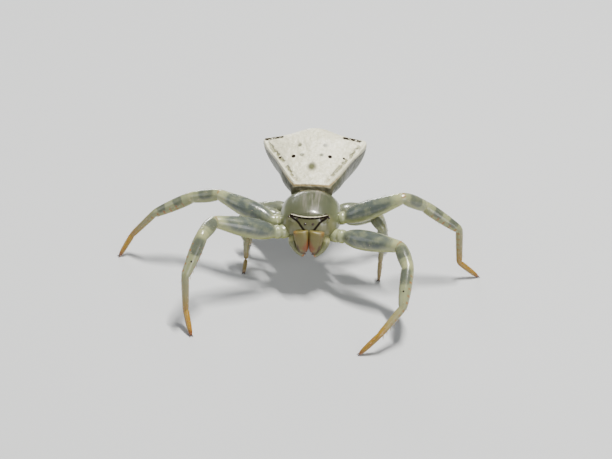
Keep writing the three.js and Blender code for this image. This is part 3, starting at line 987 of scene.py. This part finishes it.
def leg_joints(name):
    """The ends of a leg's pieces, from hip to toe. The last one leans until the toe meets the floor."""
    hip, heading, pitch = LEG_POSES[name]
    lengths = LEG_PAIRS[pair_of(name)][0]
    points = [Vector(hip)]
    toe_height = TOE_RADIUS - FOOT_SINK - BODY_HEIGHT
    for i, length in enumerate(lengths):
        start = points[-1]
        drop = min((start.z - toe_height) / length, 0.995)
        lean = math.radians(pitch[i]) if i < len(pitch) else -math.asin(drop)
        turn = math.radians(heading[i])
        step = Vector((side_of(name) * math.sin(turn), -math.cos(turn), 0)) * math.cos(lean)
        step.z = math.sin(lean)
        points.append(start + step * length)
    return points


def make_leg(name, material):
    joints = leg_joints(name)
    girth = LEG_PAIRS[pair_of(name)][1]
    root = Vector((0.45 * joints[0].x, 0.55 * joints[0].y, joints[0].z - 0.22))
    stations = [
        (root.lerp(joints[0], share), ROOT_RADIUS * size * (girth**0.5), run)
        for share, size, run in LEG_ROOT
    ]
    for number, shape in enumerate(LEG_SHAPES):
        for share, radius in shape:
            point = joints[number].lerp(joints[number + 1], share)
            stations.append((point, radius * girth**0.8, number + share))
    tip = joints[-1]
    onward = (tip - joints[-2]).normalized()
    stations.append((tip, TIP_RADIUS, 5.0))
    stations.append((tip + onward * 0.05, 0.04, 5.05))
    rings, marks = tube_rings(stations, LEG_SIDES)
    marks = [[(run, up, -side_of(name) * front) for run, up, front in row] for row in marks]
    leg = paint(grow(name, rings, marks), material)
    soften(leg, 1)
    return leg


# Jaws and feelers

# A feeler's course: across, back and up, then the radius
PALP_LINE = (
    (0.5, -0.95, -0.5, 0.25), (0.76, -1.2, -0.42, 0.27), (0.87, -1.38, -0.6, 0.25),
    (0.74, -1.5, -0.88, 0.22), (0.53, -1.6, -1.1, 0.19), (0.36, -1.68, -1.24, 0.14),
    (0.26, -1.74, -1.3, 0.06),
)
PALP_RINGS = 22
PALP_PINCH = 0.12
JAW_SIZES = (
    (0, 0.38), (0.04, 0.42), (0.14, 0.43), (0.35, 0.41), (0.6, 0.36), (0.78, 0.32), (0.9, 0.25),
    (1, 0.12),
)
JAW_SQUARE = 0.7
JAW_GAP = 0.012
FANG_LINE = ((0.29, -0.02, -0.93), (0.26, 0.0, -1.04), (0.21, 0.03, -1.13), (0.14, 0.08, -1.17))
FANG_SIZES = ((0, 0.1), (0.5, 0.085), (1, 0.02))
FANG_RINGS = 10


def spline_point(points, place):
    """A smooth curve through points, at a place from 0 to 1."""
    last = len(points) - 1
    i = min(int(place * last), last - 1)
    t = place * last - i
    a, b, c, d = (points[min(max(k, 0), last)] for k in (i - 1, i, i + 1, i + 2))
    curve = (2 * a - 5 * b + 4 * c - d) * t**2 + (3 * b - a - 3 * c + d) * t**3
    return 0.5 * (2 * b + (c - a) * t + curve)


def make_palp(side, material):
    line = [Vector((side * x, y, z)) for x, y, z, _ in PALP_LINE]
    radii = [(i / (len(PALP_LINE) - 1), row[3]) for i, row in enumerate(PALP_LINE)]
    stations = []
    for k in range(PALP_RINGS):
        place = k / (PALP_RINGS - 1)
        pinch = 1 - PALP_PINCH * max(math.cos(8 * math.pi * place), 0) ** 4
        stations.append((spline_point(line, place), along(radii, place) * pinch, place))
    palp = paint(grow("palp", *tube_rings(stations, 14)), material)
    soften(palp, 1)
    return palp


def make_jaw(side, material):
    top = Vector((side * 0.42, HEAD_FRONT + 0.14, 0.14))
    foot = Vector((side * 0.26, HEAD_FRONT - 0.17, -1.08))
    rings, marks = tube_rings(taper(top, foot, JAW_SIZES), 16, Vector((0, -1, 0)), JAW_SQUARE)
    for ring in rings:
        for point in ring:
            point.x = side * max(side * point.x, JAW_GAP / 2)
    jaw = paint(grow("jaw", rings, marks), material)
    soften(jaw, 1)
    return jaw


def make_fang(side, material):
    line = [Vector((side * x, HEAD_FRONT - 0.18 + y, z)) for x, y, z in FANG_LINE]
    places = [k / (FANG_RINGS - 1) for k in range(FANG_RINGS)]
    stations = [(spline_point(line, place), along(FANG_SIZES, place), place) for place in places]
    name = "fang_left" if side < 0 else "fang_right"
    fang = paint(grow(name, *tube_rings(stations, 10)), material)
    soften(fang, 1)
    return fang


# Eyes, each a glossy bead

EYE_DEPTH = 0.86
EYES = {
    "eye_front_inner": ((0.2, HEAD_FRONT + 0.13, 0.5), 0.075),
    "eye_front_outer": ((0.62, BROW_Y - 0.03, BROW_Z - 0.26), 0.065),
    "eye_back_inner": ((0.33, BROW_Y - 0.02, BROW_Z - 0.16), 0.06),
    "eye_back_outer": ((HUMP_X + 0.12, BROW_Y - 0.03, BROW_Z - 0.14), 0.06),
}


def make_eye(name, place, radius, material):
    bpy.ops.mesh.primitive_uv_sphere_add(segments=28, ring_count=16, radius=radius, location=place)
    bead = bpy.context.object
    bead.name = "bead_" + name
    bpy.ops.object.mode_set(mode="EDIT")
    bpy.ops.mesh.select_all(action="SELECT")
    bpy.ops.transform.resize(value=(1, EYE_DEPTH, 1), center_override=place)
    bpy.ops.object.mode_set(mode="OBJECT")
    bpy.ops.object.transform_apply(location=True, rotation=True, scale=True)
    paint(bead, material)
    settle(bead)
    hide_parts(name)


def make_eyes():
    material = plain_finish("eye_bead", EYE_DARK, EYE_LIGHT, 0.15, 0.3)
    for name, ((x, y, z), radius) in EYES.items():
        for word, side in SIDES.items():
            make_eye(name + "_" + word, Vector((side * x, y, z)), radius, material)


# Bristles and claws: many small tapered spikes in one mesh

SPIKE_SIDES = 5
HAIRS_PER_PIECE = (14, 7, 16, 16, 14)
HAIR_RADIUS = 0.009
SPINES_PER_ROW = 5
SPINE_LENGTH = 0.26
SPINE_RADIUS = 0.026
CLAW_LENGTH = 0.15
CLAW_RADIUS = 0.035


def add_spike(shape, root, tip, radius):
    facing = (tip - root).normalized()
    across = facing.orthogonal().normalized()
    up = facing.cross(across)
    base = []
    for k in range(SPIKE_SIDES):
        turn = 2 * math.pi * k / SPIKE_SIDES
        out = across * radius * math.cos(turn) + up * radius * math.sin(turn)
        base.append(shape.verts.new(root + out))
    middle = [shape.verts.new(vert.co.lerp(root, 0.35) + (tip - root) * 0.55) for vert in base]
    end = shape.verts.new(tip)
    shape.faces.new(reversed(base))
    for k in range(SPIKE_SIDES):
        after = (k + 1) % SPIKE_SIDES
        shape.faces.new((base[k], base[after], middle[after], middle[k]))
        shape.faces.new((middle[k], middle[after], end))


def spikes_piece(name, spikes, material):
    mesh = bpy.data.meshes.new(name)
    piece = bpy.data.objects.new(name, mesh)
    bpy.context.scene.collection.objects.link(piece)
    shape = bmesh.new()
    for root, tip, radius in spikes:
        add_spike(shape, root, tip, radius)
    bmesh.ops.recalc_face_normals(shape, faces=shape.faces)
    shape.to_mesh(mesh)
    shape.free()
    paint(piece, material)
    settle(piece)
    return piece


def leg_spikes(name):
    """Short stiff hairs all along a leg, and stouter spines in two rows under the first pair's shins."""
    joints = leg_joints(name)
    girth = LEG_PAIRS[pair_of(name)][1]
    spikes = []
    for number, shape in enumerate(LEG_SHAPES):
        start, end = joints[number], joints[number + 1]
        run = (end - start).normalized()
        across = run.cross(Vector((0, 0, 1))).normalized()
        up = across.cross(run)
        hairs = int(HAIRS_PER_PIECE[number] * girth)
        for k in range(hairs):
            share = (k + dice.random()) / hairs
            turn = dice.uniform(0, 2 * math.pi)
            out = across * math.cos(turn) + up * math.sin(turn)
            radius = along(shape, share) * girth**0.8
            root = start.lerp(end, share) + out * radius * 0.9
            length = dice.uniform(0.1, 0.2)
            spikes.append((root, root + (out * 0.75 + run * 0.65) * length, HAIR_RADIUS))
        if pair_of(name) == "1" and number in (2, 3):
            for k in range(SPINES_PER_ROW):
                share = 0.3 + 0.62 * k / (SPINES_PER_ROW - 1)
                radius = along(shape, share)
                for lean in (-1, 1):
                    out = (across * lean * 0.55 - up * 0.83).normalized()
                    root = start.lerp(end, share) + out * radius * 0.88
                    tip = root + (out * 0.6 + run * 0.8) * SPINE_LENGTH
                    spikes.append((root, tip, SPINE_RADIUS))
    return spikes


def claw_spikes(name):
    """Two claws at a toe, pointing the way it does, or ahead where it stands upright."""
    joints = leg_joints(name)
    run = (joints[5] - joints[4]).normalized()
    flat = Vector((run.x, run.y, 0))
    flat = flat.normalized() if flat.length > 0.2 else Vector((0, -1, 0))
    across = Vector((-flat.y, flat.x, 0))
    spikes = []
    for lean in (-1, 1):
        root = joints[5] + run * 0.01 + across * 0.04 * lean
        tip = root + flat * CLAW_LENGTH + across * 0.05 * lean
        tip.z = -BODY_HEIGHT + 0.02
        spikes.append((root, tip, CLAW_RADIUS))
    return spikes


# Putting the spider together

def make_spider():
    first = leg_finish("leg_shell_first", 0.0, FIRST_PANES, 60, True)
    second = leg_finish("leg_shell_second", 0.0, SECOND_PANES, 45, False)
    rear = leg_finish("leg_shell_rear", 0.45, REAR_PANES, 40, False)
    finishes = {"1": first, "2": second, "3": rear, "4": rear}
    palp = palp_finish()
    jaw = jaw_finish()
    horn = plain_finish("claw_horn", HORN_DARK, HORN_LIGHT, 0.3, 0.3)
    hair = plain_finish("bristle_amber", HAIR_DARK, HAIR_LIGHT, 0.4, 0)

    parts = make_head() + make_abdomen()
    for side in SIDES.values():
        parts.append(make_jaw(side, jaw))
        parts.append(make_palp(side, palp))
    for name in LEG_POSES:
        parts.append(make_leg(name, finishes[pair_of(name)]))
    skin = weld(parts, "spider_skin")
    settle(skin)
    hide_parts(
        "cephalothorax", "abdomen", "jaw_left", "jaw_right", "palp_left", "palp_right", *LEG_POSES
    )

    for side in SIDES.values():
        fang = make_fang(side, horn)
        settle(fang)
    make_eyes()
    hairs = [spike for name in LEG_POSES for spike in leg_spikes(name)]
    bristles = spikes_piece("bristles", hairs, hair)
    points = [spike for name in LEG_POSES for spike in claw_spikes(name)]
    claws = spikes_piece("claws", points, horn)


make_camera()
make_stage()
make_spider()
